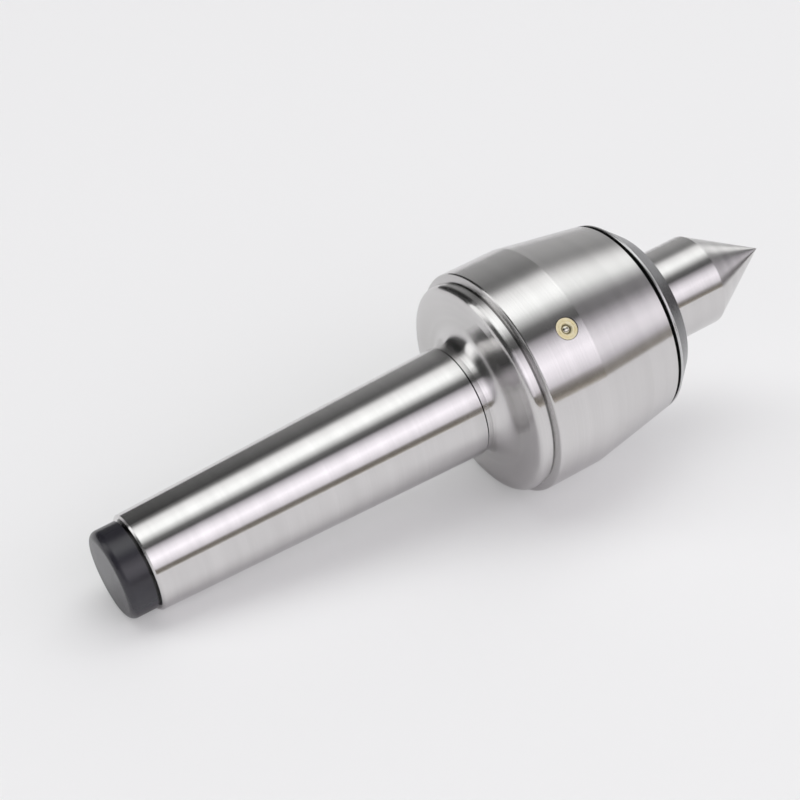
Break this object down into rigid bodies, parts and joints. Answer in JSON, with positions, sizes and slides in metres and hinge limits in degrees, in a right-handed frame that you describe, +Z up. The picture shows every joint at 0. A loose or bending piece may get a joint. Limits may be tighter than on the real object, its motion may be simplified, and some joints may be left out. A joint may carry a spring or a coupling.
{
  "type": "live center",
  "caption": "Live center for a lathe tailstock: tapered shank, bearing housing with a flush oiler, dark dust shield and a rotating 60 degree point.",
  "frame": {"origin": "centre of the Morse taper's gauge plane, on the axis (the plane where the taper measures 31.267 mm)", "axes": "+X along the axis towards the point, -X towards the tail plug, +Z up; the oiler lies at 45 degrees between +Z and -Y"},
  "size_m": [0.21, 0.0648, 0.0648],
  "materials": {
    "ground_steel": "fine ground",
    "turned_steel": "fine ground",
    "point_steel": "ground",
    "dark_shield": "satin black oxide",
    "black_plug": "satin moulded",
    "black_oxide_steel": "black oxide",
    "bearing_steel": "polished",
    "spring_steel": "plain",
    "oiler_brass": "turned",
    "cage_brass": "machined",
    "seal_rubber": "matt"
  },
  "bodies": {
    "housing": {"shank_body": "ground_steel", "housing_sleeve": "turned_steel", "retainer_nut": "black_oxide_steel", "shaft_seal": "seal_rubber", "oiler_body": "oiler_brass", "oiler_spring": "spring_steel", "front_bearing_outer_ring": "bearing_steel", "middle_bearing_outer_ring": "bearing_steel", "thrust_housing_washer": "bearing_steel", "needle_cup": "bearing_steel", "rear_circlip": "spring_steel"},
    "spindle_assembly": {"spindle": "point_steel", "dust_shield": "dark_shield", "front_bearing_inner_ring": "bearing_steel", "middle_bearing_inner_ring": "bearing_steel", "thrust_shaft_washer": "bearing_steel", "spindle_lock_nut": "black_oxide_steel", "lock_washer": "spring_steel"},
    "front_cage_set": {"front_bearing_cage": "cage_brass", "front_bearing_balls": "bearing_steel"},
    "middle_cage_set": {"middle_bearing_cage": "cage_brass", "middle_bearing_balls": "bearing_steel"},
    "thrust_cage_set": {"thrust_cage": "cage_brass", "thrust_balls": "bearing_steel"},
    "needle_cage_set": {"needle_cage": "spring_steel", "needle_rollers": "bearing_steel"},
    "oiler_ball": {"oiler_ball": "bearing_steel"},
    "tail_cap": {"tail_cap": "black_plug"}
  },
  "joints": [
    {"name": "spindle_spin", "type": "hinge", "parent": "housing", "child": "spindle_assembly", "pos_m": [0.05, 0, 0], "axis": [1, 0, 0], "continuous": true},
    {"name": "front_cage_spin", "type": "hinge", "parent": "housing", "child": "front_cage_set", "pos_m": [0.05, 0, 0], "axis": [1, 0, 0], "continuous": true},
    {"name": "middle_cage_spin", "type": "hinge", "parent": "housing", "child": "middle_cage_set", "pos_m": [0.038, 0, 0], "axis": [1, 0, 0], "continuous": true},
    {"name": "thrust_cage_spin", "type": "hinge", "parent": "housing", "child": "thrust_cage_set", "pos_m": [0.022, 0, 0], "axis": [1, 0, 0], "continuous": true},
    {"name": "needle_cage_spin", "type": "hinge", "parent": "housing", "child": "needle_cage_set", "pos_m": [-0.076, 0, 0], "axis": [1, 0, 0], "continuous": true},
    {"name": "oiler_ball_press", "type": "slide", "parent": "housing", "child": "oiler_ball", "axis": [0, 0.7071, -0.7071], "range_m": [0, 0.0008], "stiffness_N_per_m": 600, "springref_m": -0.0006, "deforming": ["oiler_spring"]},
    {"name": "tail_cap_pull", "type": "slide", "parent": "housing", "child": "tail_cap", "axis": [-1, 0, 0], "range_m": [0, 0.006]}
  ],
  "couplings": [
    {"joint": "front_cage_spin", "follows": "spindle_spin", "ratio": 0.41181},
    {"joint": "middle_cage_spin", "follows": "spindle_spin", "ratio": 0.41181},
    {"joint": "thrust_cage_spin", "follows": "spindle_spin", "ratio": 0.5},
    {"joint": "needle_cage_spin", "follows": "spindle_spin", "ratio": 0.42908}
  ]
}
